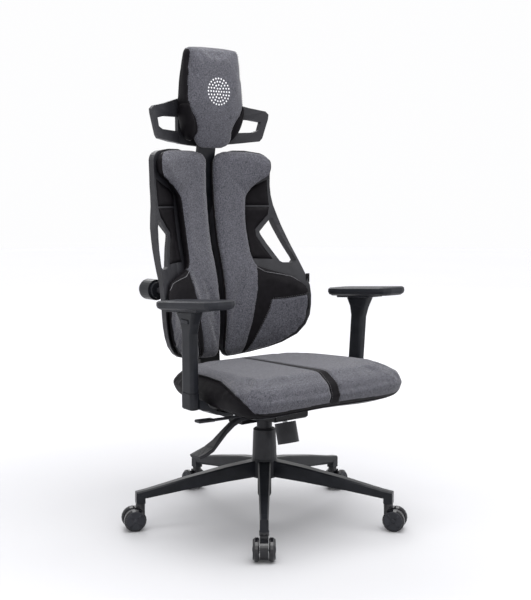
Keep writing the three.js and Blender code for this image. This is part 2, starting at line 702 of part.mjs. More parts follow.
function headrestStem() {
  const bar = (low, high, half) => sideProfile([
    [stemY(low) - 6, low], [stemY(high) - 6, high], [stemY(high) + 6, high], [stemY(low) + 6, low],
  ], half);
  const eye = pinAlongX(9, NECK_HALF, HEAD_PIVOT.y, HEAD_PIVOT.z);
  const whole = join(bar(838, NECK_BOTTOM, STEM_HALF), bar(NECK_BOTTOM - 10, 1050, NECK_HALF), eye);
  return cut(whole, pinAlongX(HEAD_PIN_RADIUS + GAP, 40, HEAD_PIVOT.y, HEAD_PIVOT.z));
}

place('headrest_stem', headrestStem(), satinBlack);
place('headrest_pivot_pin', pinAlongX(HEAD_PIN_RADIUS, 27, HEAD_PIVOT.y, HEAD_PIVOT.z, 16), brightSteel);

const FRAME_MIDDLE = [                 // outline behind the pad, right half
  [0, 1168], [50, 1166], [84, 1158], [84, 1032], [50, 1028], [0, 1024],
];
const WING = [                         // outline of the left wing, from its top root round
  [78, 1160], [105, 1152], [150, 1140], [196, 1131], [206, 1122], [204, 1108], [186, 1052],
  [178, 1043], [120, 1036], [78, 1032],
];
const WING_OPENING = [[88, 1106], [150, 1105], [182, 1099], [176, 1076], [160, 1069], [88, 1066]];
const WING_THICKNESS = 14;

// The frame runs flat behind the pad and comes forward in both wings.
const wingY = (x) => 277 - 46 * THREE.MathUtils.smoothstep(x, 84, 215);

function headrestWing() {
  const shape = outline(WING);
  shape.holes = [new THREE.Path(WING_OPENING.map(([x, z]) => new THREE.Vector2(x, z)))];
  const flat = new THREE.ExtrudeGeometry(shape, { depth: WING_THICKNESS, bevelEnabled: false });
  flat.rotateX(Math.PI / 2).translate(0, WING_THICKNESS, 0);
  const { position } = flat.attributes;
  for (let i = 0; i < position.count; i++) {
    position.setY(i, position.getY(i) + wingY(position.getX(i)));
  }
  return weld(flat);
}

function headrestFrame() {
  const left = FRAME_MIDDLE.slice(1, -1).reverse().map(([x, z]) => [-x, z]);
  const middle = frontProfile([...FRAME_MIDDLE, ...left], wingY(0), wingY(0) + WING_THICKNESS);
  const lugs = [-1, 1].map((side) => box(6, 34, 20, side * 22, 265, HEAD_PIVOT.z));
  const whole = join(middle, headrestWing(), handed(headrestWing(), -1), ...lugs);
  return cut(whole, pinAlongX(HEAD_PIN_RADIUS + GAP, 40, HEAD_PIVOT.y, HEAD_PIVOT.z));
}

place('headrest_frame', headrestFrame(), matteBlack);

const HEAD_PAD = [                     // height, half width, front y, rear y
  [1018, 34, 233, 243], [1024, 50, 228, 243], [1036, 62, 222, 243], [1055, 68, 217, 244],
  [1080, 82, 212, 250], [1100, 92, 208, 266], [1140, 100, 205, 272], [1200, 97, 207, 270],
  [1250, 93, 209, 264], [1288, 89, 212, 258], [1298, 84, 220, 252],
];

function headrestPad() {
  return loft(HEAD_PAD.map(([z, half, front, rear]) => {
    const lip = Math.min(8, (rear - front) * 0.3);
    return [
      [-half + lip, front + 3], [-half * 0.5, front], [half * 0.5, front], [half - lip, front + 3],
      [half, front + lip], [half, rear - lip], [half - lip, rear], [-half + lip, rear],
      [-half, rear - lip], [-half, front + lip],
    ].map(([x, y]) => new THREE.Vector3(x, y, z));
  }));
}

place('headrest_pad', headrestPad(), softBlack);

export default chair;
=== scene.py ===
"""The finished look of a gaming chair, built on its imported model.

Units are metres. Seams and trim are given from the gas column's axis, with x to the sitter's left
and z up, so one list serves both halves of the chair.
"""
import itertools
import json
import math

import bmesh
import bpy
import numpy as np
from mathutils import Matrix, Vector
from mathutils.bvhtree import BVHTree
from mathutils.geometry import delaunay_2d_cdt


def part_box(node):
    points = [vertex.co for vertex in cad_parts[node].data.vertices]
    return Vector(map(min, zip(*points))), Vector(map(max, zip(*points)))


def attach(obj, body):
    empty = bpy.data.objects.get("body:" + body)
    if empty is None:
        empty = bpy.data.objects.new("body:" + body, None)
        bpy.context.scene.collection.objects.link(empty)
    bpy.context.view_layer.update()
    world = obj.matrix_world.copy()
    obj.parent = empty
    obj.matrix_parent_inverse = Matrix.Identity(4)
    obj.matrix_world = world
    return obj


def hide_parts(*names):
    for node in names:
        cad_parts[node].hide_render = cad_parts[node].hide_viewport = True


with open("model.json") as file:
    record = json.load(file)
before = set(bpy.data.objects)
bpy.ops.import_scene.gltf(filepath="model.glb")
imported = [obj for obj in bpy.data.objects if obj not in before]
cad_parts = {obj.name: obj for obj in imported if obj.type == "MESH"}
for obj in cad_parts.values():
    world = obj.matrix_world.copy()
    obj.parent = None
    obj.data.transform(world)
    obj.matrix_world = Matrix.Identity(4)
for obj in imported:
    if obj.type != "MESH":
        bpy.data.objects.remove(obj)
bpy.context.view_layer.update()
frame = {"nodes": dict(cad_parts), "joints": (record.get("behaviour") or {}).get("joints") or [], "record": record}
nodes = frame["nodes"]

# ---- Driving values ------------------------------------------------------------------------------

COLUMN_LOW, COLUMN_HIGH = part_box("gas_cylinder")
COLUMN = Vector(((COLUMN_LOW.x + COLUMN_HIGH.x) / 2, (COLUMN_LOW.y + COLUMN_HIGH.y) / 2, 0))

VOXEL = 0.005
CLOTH_FRAMES = 20
CLOTH_PRESSURE = 4.0
CLOTH_QUALITY = 5
CLOTH_MASS = 0.3
SEAT_SWELL = 0.009            # how far a point of each piece may move as it swells
BACK_SWELL = 0.005
HEADREST_SWELL = 0.005
ROUNDING = 6                  # smoothing passes that round a remeshed pad's corners
SEAT_ROUNDING = 14
AFTER_SWELL = 2               # smoothing passes once it has swollen

SEAM_DEPTH = 0.0022
SEAM_WIDTH = 0.0035
SHORTEST_CHAIN = 8            # points; a shorter scrap of a cut isn't sewn
STITCH_LENGTH = 0.0042
STITCH_PITCH = 0.0062
STITCH_RADIUS = 0.00042
STITCH_OFFSET = 0.0035        # from the seam
SNAP = 0.2                    # share of an edge within which its end moves onto a cut
CHAIN_SMOOTHING = 3           # passes
TUBE_STEP = 0.004
PIPING_RADIUS = 0.0017

# Distance from the middle, against height, of the seam outside the back's middle strip.
STRIP_EDGE = [(0.420, 0.068), (0.440, 0.072), (0.483, 0.080), (0.526, 0.091), (0.569, 0.099),
              (0.612, 0.109), (0.675, 0.120), (0.720, 0.150), (1.100, 0.400)]
# The same for the inner side of the lower outer panel, and the panel's top against x.
PANEL_EDGE = [(0.420, 0.078), (0.438, 0.087), (0.467, 0.100), (0.509, 0.120), (0.552, 0.140),
              (0.586, 0.150), (0.640, 0.162)]
PANEL_TOP = [(0.140, 0.585), (0.190, 0.588), (0.250, 0.600)]
BACK_BORDER = 0.006           # the black edging outside the grey fabric

# Height, against distance forward of the column, of the seam on the seat's side.
SEAT_SEAM = [(-0.170, 0.416), (-0.100, 0.421), (0.050, 0.424), (0.120, 0.423), (0.180, 0.414),
             (0.225, 0.402), (0.258, 0.384), (0.270, 0.345), (0.300, 0.300)]
# Half width of the seat's middle stripe, against distance forward.
SEAT_STRIPE = [(-0.170, 0.006), (0.000, 0.008), (0.120, 0.011), (0.290, 0.0165)]
SEAT_HELD_BELOW = 0.358       # height under which the cushion sits in its shell
SEAT_TOP_ABOVE = 0.40         # a stripe seam that rises past this height is on top
# The z of a surface normal, from -1 facing down to 1 facing up, under which the seat pad ...
SEAT_HELD_UNDER = -0.2        # ... is held still by its shell
SEAT_SEWN_UNDER = -0.5        # ... is no longer sewn
SEAT_BLACK_UNDER = -0.6       # ... is black

# Half width of the headrest's grey front against height.
HEADREST_EDGE = [(1.010, 0.080), (1.040, 0.076), (1.050, 0.064), (1.062, 0.060), (1.077, 0.062),
                 (1.098, 0.071), (1.115, 0.083), (1.130, 0.090), (1.150, 0.0945), (1.200, 0.0925),
                 (1.298, 0.082)]
DOT_CENTRE_HEIGHT = 1.176
DOT_RING_STEP = 0.0091
DOT_RINGS = 4
DOT_RADIUS = 0.0025
DOT_FLATNESS = 0.2            # a dot's height as a share of its radius

# The y of a surface normal, from -1 facing the front to 1 facing the rear, past which a pad ...
HELD_REAR = 0.15              # ... is held still by the part behind it
SEWN_FRONT = 0.2              # ... is no longer sewn
BORDER_FRONT = 0.3            # ... is black on the back halves
HEADREST_REAR = 0.45          # ... is black on the headrest


def along(table, value):
    """A table's second column at a value of its first."""
    xs, ys = zip(*table)
    return np.interp(value, xs, ys)


def smoothstep(value, low, high):
    t = np.clip((value - low) / (high - low), 0, 1)
    return t * t * (3 - 2 * t)


# ---- Material nodes ------------------------------------------------------------------------------


class Shader:
    """A material whose nodes are added one call at a time."""

    def __init__(self, name, roughness, metallic=0.0):
        self.material = bpy.data.materials.new(name)
        self.material.use_nodes = True
        self.tree = self.material.node_tree
        self.surface = self.tree.nodes["Principled BSDF"]
        self.surface.inputs["Roughness"].default_value = roughness
        self.surface.inputs["Metallic"].default_value = metallic
        self.place = self.add("ShaderNodeTexCoord").outputs["Object"]

    def add(self, kind, **settings):
        node = self.tree.nodes.new(kind)
        for key, value in settings.items():
            setattr(node, key, value)
        return node

    def link(self, source, target):
        self.tree.links.new(source, target)

    def noise(self, scale, detail=3.0, stretch=(1, 1, 1)):
        mapping = self.add("ShaderNodeMapping")
        mapping.inputs["Scale"].default_value = stretch
        self.link(self.place, mapping.inputs["Vector"])
        node = self.add("ShaderNodeTexNoise")
        node.inputs["Scale"].default_value = scale
        node.inputs["Detail"].default_value = detail
        self.link(mapping.outputs["Vector"], node.inputs["Vector"])
        return node.outputs["Fac"]

    def math(self, operation, first, second):
        node = self.add("ShaderNodeMath", operation=operation)
        for socket, value in zip(node.inputs, (first, second)):
            if isinstance(value, (int, float)):
                socket.default_value = value
            else:
                self.link(value, socket)
        return node.outputs[0]

    def ramp(self, factor, low, high, start=0.3, end=0.7):
        node = self.add("ShaderNodeValToRGB")
        node.color_ramp.elements[0].position = start
        node.color_ramp.elements[0].color = (*low, 1)
        node.color_ramp.elements[1].position = end
        node.color_ramp.elements[1].color = (*high, 1)
        self.link(factor, node.inputs["Fac"])
        return node.outputs["Color"]

    def spread(self, factor, low, high):
        node = self.add("ShaderNodeMapRange")
        node.inputs["To Min"].default_value = low
        node.inputs["To Max"].default_value = high
        self.link(factor, node.inputs["Value"])
        return node.outputs["Result"]

    def bump(self, height, distance, strength=1.0):
        node = self.add("ShaderNodeBump")
        node.inputs["Distance"].default_value = distance
        node.inputs["Strength"].default_value = strength
        self.link(height, node.inputs["Height"])
        self.link(node.outputs["Normal"], self.surface.inputs["Normal"])

    def color(self, socket):
        self.link(socket, self.surface.inputs["Base Color"])

    def rough(self, socket):
        self.link(socket, self.surface.inputs["Roughness"])

    def set(self, **values):
        for name, value in values.items():
            self.surface.inputs[name.replace("_", " ")].default_value = value


# ---- Materials -----------------------------------------------------------------------------------

WEAVE_PITCH = 0.0016
FLECK_SHARE = 0.65            # of the fabric's tone; blotches make the rest
GRAIN_CELLS = 560             # the leather's, over one metre
GLOW_STARTS = 0.4             # distance from the frame's origin
GLOW_FULL = 3.0
GLOW_STRENGTH = 0.49


def thread_height(shader, pitch):
    """Warp threads across x woven with weft threads across y and z."""
    split = shader.add("ShaderNodeSeparateXYZ")
    shader.link(shader.place, split.inputs["Vector"])
    turns = 2 * math.pi / pitch
    rise = shader.math("ADD", split.outputs["Y"], split.outputs["Z"])
    warp = shader.math("SINE", shader.math("MULTIPLY", split.outputs["X"], turns), 0)
    weft = shader.math("SINE", shader.math("MULTIPLY", rise, turns), 0)
    return shader.math("MULTIPLY", warp, weft)


def melange_fabric():
    shader = Shader("grey_melange", 0.92)
    shader.set(Sheen_Weight=0.26, Sheen_Roughness=0.4, Specular_IOR_Level=0.2)
    fleck = shader.noise(560, 3, (1.0, 0.55, 0.55))
    blotch = shader.noise(230, 4)
    mixed = shader.math("ADD", shader.math("MULTIPLY", fleck, FLECK_SHARE),
                        shader.math("MULTIPLY", blotch, 1 - FLECK_SHARE))
    shader.color(shader.ramp(mixed, (0.024, 0.024, 0.029), (0.119, 0.119, 0.140), 0.34, 0.66))
    weave = shader.math("ADD", thread_height(shader, WEAVE_PITCH), shader.math("MULTIPLY", fleck, 1.5))
    shader.bump(weave, 0.0003, 0.6)
    return shader.material


def leather():
    shader = Shader("black_leather", 0.52)
    shader.set(Specular_IOR_Level=0.07)
    cells = shader.add("ShaderNodeTexVoronoi", feature="DISTANCE_TO_EDGE")
    cells.inputs["Scale"].default_value = GRAIN_CELLS
    shader.link(shader.place, cells.inputs["Vector"])
    crease = shader.noise(60, 5)
    shader.color(shader.ramp(crease, (0.0035, 0.0030, 0.0038), (0.0065, 0.0057, 0.0072)))
    shader.rough(shader.spread(shader.noise(35, 4), 0.44, 0.62))
    shader.bump(shader.math("ADD", cells.outputs["Distance"], crease), 0.0004, 0.5)
    return shader.material


def moulded(name, low, high, roughness, grain=900, depth=0.00012, specular=0.2):
    """Moulded plastic: a fine grain, slight changes of tone, and a roughness that varies."""
    shader = Shader(name, roughness)
    shader.set(Specular_IOR_Level=specular)
    shader.color(shader.ramp(shader.noise(28, 4), low, high))
    shader.rough(shader.spread(shader.noise(45, 5), roughness - 0.06, roughness + 0.08))
    shader.bump(shader.noise(grain, 2), depth, 0.5)
    return shader.material


def steel(name, low, high, roughness):
    """Ground steel, brushed round its length."""
    shader = Shader(name, roughness, 1.0)
    brushed = shader.noise(260, 3, (1, 1, 0.08))
    shader.color(shader.ramp(brushed, low, high))
    shader.rough(shader.spread(brushed, roughness - 0.08, roughness + 0.12))
    shader.bump(brushed, 0.00008, 0.4)
    return shader.material


def thread(name, low, high):
    shader = Shader(name, 0.75)
    twist = shader.noise(1400, 2, (1, 1, 0.4))
    shader.color(shader.ramp(twist, low, high))
    shader.bump(twist, 0.0001, 0.6)
    return shader.material


def studio_floor():
    """Pale, with a glow that grows away from the chair, where the softboxes reach less."""
    shader = Shader("studio_floor", 0.6)
    shader.set(Emission_Color=(0.95, 0.95, 1.0, 1), Specular_IOR_Level=0.1)
    shader.color(shader.ramp(shader.noise(0.6, 2), (0.478, 0.478, 0.494), (0.492, 0.492, 0.506)))
    distance = shader.add("ShaderNodeVectorMath", operation="LENGTH")
    shader.link(shader.place, distance.inputs[0])
    glow = shader.add("ShaderNodeMapRange", interpolation_type="SMOOTHSTEP")
    glow.inputs["From Min"].default_value = GLOW_STARTS
    glow.inputs["From Max"].default_value = GLOW_FULL
    glow.inputs["To Min"].default_value = 0.0
    glow.inputs["To Max"].default_value = GLOW_STRENGTH
    shader.link(distance.outputs["Value"], glow.inputs["Value"])
    shader.link(glow.outputs["Result"], shader.surface.inputs["Emission Strength"])
    return shader.material


FABRIC = melange_fabric()
LEATHER = leather()
MATTE = moulded("matte_black", (0.013, 0.013, 0.016), (0.023, 0.023, 0.027), 0.46, specular=0.3)
SATIN = moulded("satin_black", (0.007, 0.008, 0.010), (0.014, 0.015, 0.019), 0.34, 1200, 0.00006)
GLOSS = moulded("gloss_black", (0.004, 0.004, 0.006), (0.008, 0.008, 0.010), 0.14, 300, 0.00002, 0.5)
DARK_GREY = moulded("dark_grey", (0.018, 0.019, 0.023), (0.030, 0.031, 0.037), 0.44)
SOFT = moulded("soft_black", (0.010, 0.011, 0.014), (0.017, 0.018, 0.023), 0.46, 700, 0.0002)
PAINTED = moulded("powder_coat", (0.006, 0.006, 0.007), (0.012, 0.012, 0.013), 0.42, 1500, 0.00015)
BRIGHT = steel("bright_steel", (0.40, 0.41, 0.43), (0.60, 0.61, 0.63), 0.28)
SEAM_THREAD = thread("seam_thread", (0.070, 0.070, 0.076), (0.17, 0.17, 0.18))
PRINT = moulded("white_print", (0.70, 0.70, 0.73), (0.82, 0.82, 0.84), 0.60, 800, 0.0001)

SLOT_MATERIALS = {
    "grey_fabric": FABRIC, "matte_black": MATTE, "satin_black": SATIN, "gloss_black": GLOSS,
    "dark_grey": DARK_GREY, "soft_black": SOFT, "painted_steel": PAINTED, "bright_steel": BRIGHT,
}

# ---- CAD parts: materials, rounded edges and smooth faces ----------------------------------------


def smooth_faces_group(angle):
    """A modifier tree that shades faces smooth, except over edges sharper than an angle."""
    tree = bpy.data.node_groups.new("smooth_faces", "GeometryNodeTree")
    tree.interface.new_socket("Geometry", in_out="INPUT", socket_type="NodeSocketGeometry")
    tree.interface.new_socket("Geometry", in_out="OUTPUT", socket_type="NodeSocketGeometry")
    start = tree.nodes.new("NodeGroupInput")
    end = tree.nodes.new("NodeGroupOutput")
    faces = tree.nodes.new("GeometryNodeSetShadeSmooth")
    edges = tree.nodes.new("GeometryNodeSetShadeSmooth")
    edges.domain = "EDGE"
    edges.inputs["Shade Smooth"].default_value = False
    turn = tree.nodes.new("GeometryNodeInputMeshEdgeAngle")
    sharper = tree.nodes.new("FunctionNodeCompare")
    sharper.operation = "GREATER_THAN"
    sharper.inputs["B"].default_value = angle
    tree.links.new(start.outputs[0], faces.inputs["Geometry"])
    tree.links.new(faces.outputs["Geometry"], edges.inputs["Geometry"])
    tree.links.new(turn.outputs["Unsigned Angle"], sharper.inputs["A"])
    tree.links.new(sharper.outputs["Result"], edges.inputs["Selection"])
    tree.links.new(edges.outputs["Geometry"], end.inputs[0])
    return tree


SMOOTH_ANGLE = math.radians(38)
SMOOTH_FACES = smooth_faces_group(SMOOTH_ANGLE)
ROUNDED_ANGLE = math.radians(32)
EDGE_ROUNDING = {"star_base": 0.0016, "arm_pad_left": 0.0022, "arm_pad_right": 0.0022,
                 "back_frame_left": 0.0015, "back_frame_right": 0.0015, "headrest_frame": 0.0020,
                 "seat_shell": 0.0025, "arm_post_left": 0.0010, "arm_post_right": 0.0010}
PLAIN_ROUNDING = 0.0007


def dress_cad_parts():
    slot_of = {part["node"]: part["material_slot"] for part in frame["record"]["subparts"]}
    for name, node in nodes.items():
        node.data.materials.clear()
        node.data.materials.append(SLOT_MATERIALS[slot_of[name]])
        bevel = node.modifiers.new("rounded_edges", "BEVEL")
        bevel.width = EDGE_ROUNDING.get(name, PLAIN_ROUNDING)
        bevel.segments = 2
        bevel.limit_method = "ANGLE"
        bevel.angle_limit = ROUNDED_ANGLE
        bevel.use_clamp_overlap = True
        smooth = node.modifiers.new("smooth_faces", "NODES")
        smooth.node_group = SMOOTH_FACES


# ---- Mesh helpers --------------------------------------------------------------------------------


def new_object(name, mesh, *materials):
    made = bpy.data.objects.new(name, mesh)
    bpy.context.scene.collection.objects.link(made)
    for item in materials:
        mesh.materials.append(item)
    return made


def points_of(mesh):
    flat = np.empty(len(mesh.vertices) * 3)
    mesh.vertices.foreach_get("co", flat)
    return flat.reshape(-1, 3)


def normals_of(mesh):
    flat = np.empty(len(mesh.vertices) * 3)
    mesh.vertices.foreach_get("normal", flat)
    return flat.reshape(-1, 3)


def set_points(mesh, points):
    mesh.vertices.foreach_set("co", points.ravel())
    mesh.update()


def from_column(points):
    """Points measured from the column's axis."""
    return points - np.array(COLUMN)


def apply_modifiers(piece):
    graph = bpy.context.evaluated_depsgraph_get()
    mesh = bpy.data.meshes.new_from_object(piece.evaluated_get(graph))
    piece.modifiers.clear()
    piece.data = mesh


def shade_smooth(mesh):
    mesh.polygons.foreach_set("use_smooth", [True] * len(mesh.polygons))


def relax(mesh, passes):
    """Rounds a remeshed solid's corners and facets."""
    shape = bmesh.new()
    shape.from_mesh(mesh)
    for _ in range(passes):
        bmesh.ops.smooth_vert(shape, verts=shape.verts, factor=0.5,
                              use_axis_x=True, use_axis_y=True, use_axis_z=True)
    shape.to_mesh(mesh)
    shape.free()


def inflate(piece, held, swell):
    """Swells a piece as cloth under pressure, with some of its points held still."""
    before = points_of(piece.data)
    pins = piece.vertex_groups.new(name="held")
    pins.add([int(i) for i in np.flatnonzero(held)], 1.0, "REPLACE")
    cloth = piece.modifiers.new("cloth", "CLOTH")
    cloth.settings.quality = CLOTH_QUALITY
    cloth.settings.mass = CLOTH_MASS
    cloth.settings.use_pressure = True
    cloth.settings.uniform_pressure_force = CLOTH_PRESSURE
    cloth.settings.vertex_group_mass = pins.name
    cloth.settings.effector_weights.gravity = 0
    cloth.point_cache.frame_end = CLOTH_FRAMES
    for step in range(1, CLOTH_FRAMES + 1):
        bpy.context.scene.frame_set(step)
    apply_modifiers(piece)
    piece.vertex_groups.clear()
    bpy.context.scene.frame_set(1)
    moved = points_of(piece.data) - before
    length = np.linalg.norm(moved, axis=1, keepdims=True)
    capped = moved * np.minimum(1, swell / np.maximum(length, 1e-9))
    set_points(piece.data, before + capped)


def padded_body(name, node, swell, held_by, rounding=ROUNDING):
    """A CAD pad remade as cloth. held_by says which points, from their places and normals, stay."""
    piece = new_object(name, nodes[node].data.copy())
    piece.data.materials.clear()
    remesh = piece.modifiers.new("voxels", "REMESH")
    remesh.mode = "VOXEL"
    remesh.voxel_size = VOXEL
    apply_modifiers(piece)
    relax(piece.data, rounding)
    inflate(piece, held_by(from_column(points_of(piece.data)), normals_of(piece.data)), swell)
    relax(piece.data, AFTER_SWELL)
    subdivide = piece.modifiers.new("fine_surface", "SUBSURF")
    subdivide.levels = 1
    subdivide.render_levels = 1
    apply_modifiers(piece)
    return piece


# ---- Seams ---------------------------------------------------------------------------------------


def cut_along(mesh, field):
    """Cuts a mesh where a field changes sign, and returns the cut as chains of points and normals."""
    shape = bmesh.new()
    shape.from_mesh(mesh)
    shape.verts.ensure_lookup_table()
    values = field(from_column(np.array([v.co for v in shape.verts])))
    level = dict(zip(shape.verts, values))
    for edge in shape.edges:
        first, second = edge.verts
        if level[first] * level[second] < 0:
            share = level[first] / (level[first] - level[second])
            near = first if share < SNAP else second if share > 1 - SNAP else None
            if near:
                near.co = first.co.lerp(second.co, share)
                level[near] = 0.0
    seam = {vert for vert, value in level.items() if value == 0.0}
    for edge in [e for e in shape.edges if level[e.verts[0]] * level[e.verts[1]] < 0]:
        first, second = edge.verts
        share = level[first] / (level[first] - level[second])
        _, made = bmesh.utils.edge_split(edge, first, share)
        level[made] = 0.0
        seam.add(made)
    bmesh.ops.connect_verts(shape, verts=[vert for vert in shape.verts if vert in seam])
    shape.edges.index_update()
    shape.normal_update()
    chains = walk(seam)
    shape.to_mesh(mesh)
    shape.free()
    return chains


def walk(seam):
    """The chains of edges that join a cut's points."""
    left = {edge for vert in seam for edge in vert.link_edges if set(edge.verts) <= seam}
    chains = []
    while left:
        edge = min(left, key=lambda e: e.index)
        left.discard(edge)
        chain = list(edge.verts)
        for end in (-1, 0):
            step = True
            while step:
                step = next((e for e in chain[end].link_edges if e in left), None)
                if step:
                    left.discard(step)
                    after = step.other_vert(chain[end])
                    chain.insert(len(chain) if end else 0, after)
        chains.append([(v.co.copy(), v.normal.copy()) for v in chain])
    return [chain for chain in chains if len(chain) > SHORTEST_CHAIN]


def facing_front(chains):
    """The runs of each chain on forward faces, each with the chair's middle on the same hand."""
    runs = []
    for chain in chains:
        for forward, run in itertools.groupby(chain, key=lambda point: point[1].y < 0):
            points = list(run)
            if forward and len(points) > SHORTEST_CHAIN:
                rises = points[-1][0].z > points[0][0].z
                on_left = points[0][0].x > COLUMN.x
                runs.append(points if rises == on_left else points[::-1])
    return runs


def press_seams(mesh, fields, facing):
    """Sinks the surface along its seams, as sewing does."""
    points = points_of(mesh)
    normals = normals_of(mesh)
    local = from_column(points)
    distance = np.min([np.abs(field(local)) for field in fields], axis=0)
    sink = SEAM_DEPTH * np.exp(-(distance / SEAM_WIDTH) ** 2) * facing(normals)
    set_points(mesh, points - normals * sink[:, None])


def paint_regions(mesh, region):
    """Gives each face the material number that a function of its middle and normal names."""
    count = len(mesh.polygons)
    middles = np.empty(count * 3)
    normals = np.empty(count * 3)
    mesh.polygons.foreach_get("center", middles)
    mesh.polygons.foreach_get("normal", normals)
    numbers = region(from_column(middles.reshape(-1, 3)), normals.reshape(-1, 3))
    mesh.polygons.foreach_set("material_index", numbers.astype(np.int32))


def evenly(chain, pitch):
    """Points, directions and normals at equal steps along a chain."""
    places = np.array([co for co, _ in chain])
    normals = np.array([normal for _, normal in chain])
    for _ in range(CHAIN_SMOOTHING):
        places[1:-1] = (places[:-2] + 2 * places[1:-1] + places[2:]) / 4
    steps = np.linalg.norm(np.diff(places, axis=0), axis=1)
    run = np.concatenate([[0], np.cumsum(steps)])
    at = np.arange(pitch / 2, run[-1], pitch)
    spots = np.stack([np.interp(at, run, places[:, k]) for k in range(3)], axis=1)
    ups = np.stack([np.interp(at, run, normals[:, k]) for k in range(3)], axis=1)
    ways = np.gradient(spots, axis=0) if len(spots) > 1 else np.zeros_like(spots)
    return [(Vector(s), Vector(w).normalized(), Vector(u).normalized())
            for s, w, u in zip(spots, ways, ups)]


def add_stitches(shape, chain, offset):
    """Short raised threads beside a seam, on the side that the offset's sign names."""
    for spot, way, up in evenly(chain, STITCH_PITCH):
        across = up.cross(way).normalized()
        turn = Matrix((across, up, way)).transposed().to_4x4()
        middle = Matrix.Translation(spot + across * offset + up * STITCH_RADIUS * 0.5)
        size = Matrix.Diagonal((STITCH_RADIUS, STITCH_RADIUS, STITCH_LENGTH / 2, 1))
        bmesh.ops.create_uvsphere(shape, u_segments=6, v_segments=5, radius=1.0,
                                  matrix=middle @ turn @ size)


def stitches(name, chains, offsets):
    shape = bmesh.new()
    for chain in chains:
        for offset in offsets:
            add_stitches(shape, chain, offset)
    mesh = bpy.data.meshes.new(name)
    shape.to_mesh(mesh)
    shape.free()
    shade_smooth(mesh)
    return new_object(name, mesh, SEAM_THREAD)


def tube(name, chains, radius, material, sides=8):
    """A cord of one thickness laid along each chain, closed at both ends."""
    shape = bmesh.new()
    for chain in chains:
        rings = []
        for spot, way, up in evenly(chain, TUBE_STEP):
            across = up.cross(way).normalized()
            turns = [2 * math.pi * k / sides for k in range(sides)]
            rings.append([shape.verts.new(spot + (across * math.cos(t) + up * math.sin(t)) * radius)
                          for t in turns])
        for low, high in zip(rings, rings[1:]):
            for k in range(sides):
                shape.faces.new((low[k], low[(k + 1) % sides], high[(k + 1) % sides], high[k]))
        shape.faces.new(rings[0][::-1])
        shape.faces.new(rings[-1])
    bmesh.ops.recalc_face_normals(shape, faces=shape.faces)
    mesh = bpy.data.meshes.new(name)
    shape.to_mesh(mesh)
    shape.free()
    shade_smooth(mesh)
    return new_object(name, mesh, material)


def finished(name, shape, material):
    """Turns a bmesh into a smooth object."""
    bmesh.ops.recalc_face_normals(shape, faces=shape.faces)
    mesh = bpy.data.meshes.new(name)
    shape.to_mesh(mesh)
    shape.free()
    shade_smooth(mesh)
    return new_object(name, mesh, material)


def add_loft(shape, rings):
    """Joins rings of points, one to the next, and closes both ends."""
    rows = [[shape.verts.new(point) for point in ring] for ring in rings]
    for low, high in zip(rows, rows[1:]):
        for k in range(len(low)):
            after = (k + 1) % len(low)
            shape.faces.new((low[k], low[after], high[after], high[k]))
    shape.faces.new(rows[0][::-1])
    shape.faces.new(rows[-1])


def add_turned(shape, profile, place, axis, sides=24):
    """A closed solid of revolution. profile lists radius and distance along the axis."""
    turn = axis.to_track_quat("Z", "Y").to_matrix()
    rings = []
    for radius, rise in profile:
        angles = [2 * math.pi * k / sides for k in range(sides)]
        rings.append([place + turn @ Vector((radius * math.cos(a), radius * math.sin(a), rise))
                      for a in angles])
    add_loft(shape, rings)


def surface_of(*objects):
    """A ray-casting tree of several objects' evaluated meshes."""
    graph = bpy.context.evaluated_depsgraph_get()
    joined = bmesh.new()
    for item in objects:
        joined.from_mesh(item.evaluated_get(graph).to_mesh())
    tree = BVHTree.FromBMesh(joined)
    joined.free()
    return tree


ROW_SHARE = 0.866             # height of an even triangle, as a share of its side
CLEAR_SHARE = 0.6             # least gap between a point inside and the outline, likewise


def lattice(outline, pitch):
    """Triangles that fill an outline, with points at an even pitch inside it."""
    border = []
    for (x0, z0), (x1, z1) in zip(outline, outline[1:] + outline[:1]):
        count = max(1, round(math.hypot(x1 - x0, z1 - z0) / pitch))
        border += [Vector((x0 + (x1 - x0) * k / count, z0 + (z1 - z0) * k / count))
                   for k in range(count)]
    xs, zs = zip(*outline)
    inside = []
    for row, z in enumerate(np.arange(min(zs), max(zs), pitch * ROW_SHARE)):
        for x in np.arange(min(xs) + (row % 2) * pitch / 2, max(xs), pitch):
            if gap_to(outline, x, z) > pitch * CLEAR_SHARE:
                inside.append(Vector((x, z)))
    edges = [(k, (k + 1) % len(border)) for k in range(len(border))]
    points, _, faces, _, _, _ = delaunay_2d_cdt(border + inside, edges, [], 1, 1e-6)
    return points, faces, len(border)


def gap_to(outline, x, z):
    """Distance from a point to an outline's edge, negative outside it."""
    nearest = math.inf
    within = False
    for (x0, z0), (x1, z1) in zip(outline, outline[1:] + outline[:1]):
        run = Vector((x1 - x0, z1 - z0))
        share = max(0, min(1, (Vector((x - x0, z - z0)) @ run) / run.length_squared))
        nearest = min(nearest, math.hypot(x - x0 - run.x * share, z - z0 - run.y * share))
        if (z0 > z) != (z1 > z) and x < x0 + (z - z0) * (x1 - x0) / (z1 - z0):
            within = not within
    return nearest if within else -nearest


def mirrored(piece, name):
    """A copy of a piece on the other side of the column."""
    mesh = piece.data.copy()
    mesh.transform(Matrix.Translation((2 * COLUMN.x, 0, 0)) @ Matrix.Diagonal((-1, 1, 1, 1)))
    mesh.flip_normals()
    return new_object(name, mesh)


# ---- Seat ----------------------------------------------------------------------------------------


def seat_side_seam(p):
    return along(SEAT_SEAM, -p[:, 1]) - p[:, 2]


def seat_stripe_seam(p):
    return np.abs(p[:, 0]) - along(SEAT_STRIPE, -p[:, 1])


def seat_held(p, normals):
    return (normals[:, 2] < SEAT_HELD_UNDER) | (p[:, 2] < SEAT_HELD_BELOW)


